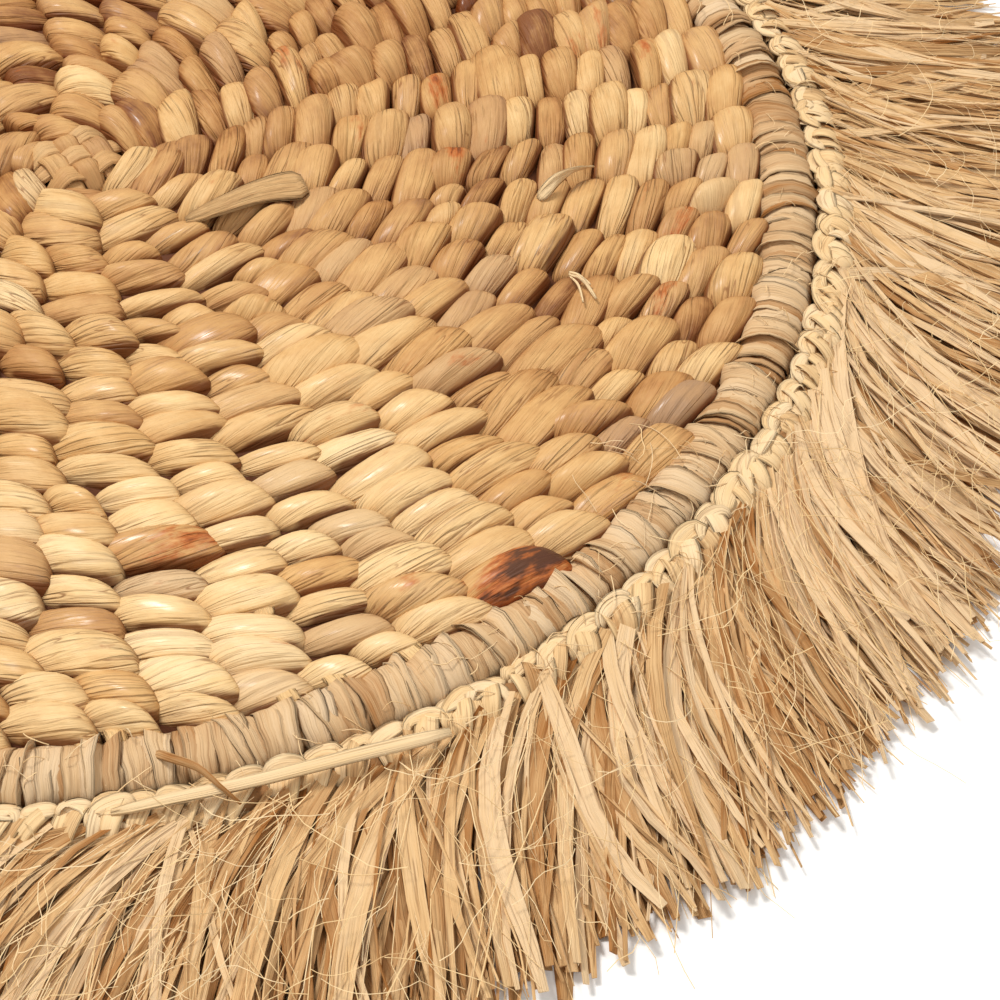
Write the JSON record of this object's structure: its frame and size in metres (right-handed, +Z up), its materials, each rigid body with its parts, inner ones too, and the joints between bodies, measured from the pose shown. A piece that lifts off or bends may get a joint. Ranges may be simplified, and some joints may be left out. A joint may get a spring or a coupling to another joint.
{
  "type": "water hyacinth placemat",
  "caption": "Round flat table mat of twined water hyacinth with a raffia-wrapped border and a knotted raffia fringe that lies on the table.",
  "frame": {"origin": "middle of the disc's flat underside, on the surface that the mat rests on", "axes": "+Z up, out of the mat's top; -Y towards the picture's camera; +X to its right"},
  "size_m": [0.487, 0.4866, 0.0107],
  "materials": {
    "twined_hyacinth": "dried water hyacinth leaf, lightly varnished, golden straw with a few brown strips",
    "wrapped_raffia": "matte raffia bands, grey beige",
    "fringe_raffia": "matte raffia strands, light straw"
  },
  "bodies": {
    "root": {"woven_disc": "twined_hyacinth", "border_coil": "wrapped_raffia", "fringe": "fringe_raffia"}
  },
  "joints": []
}
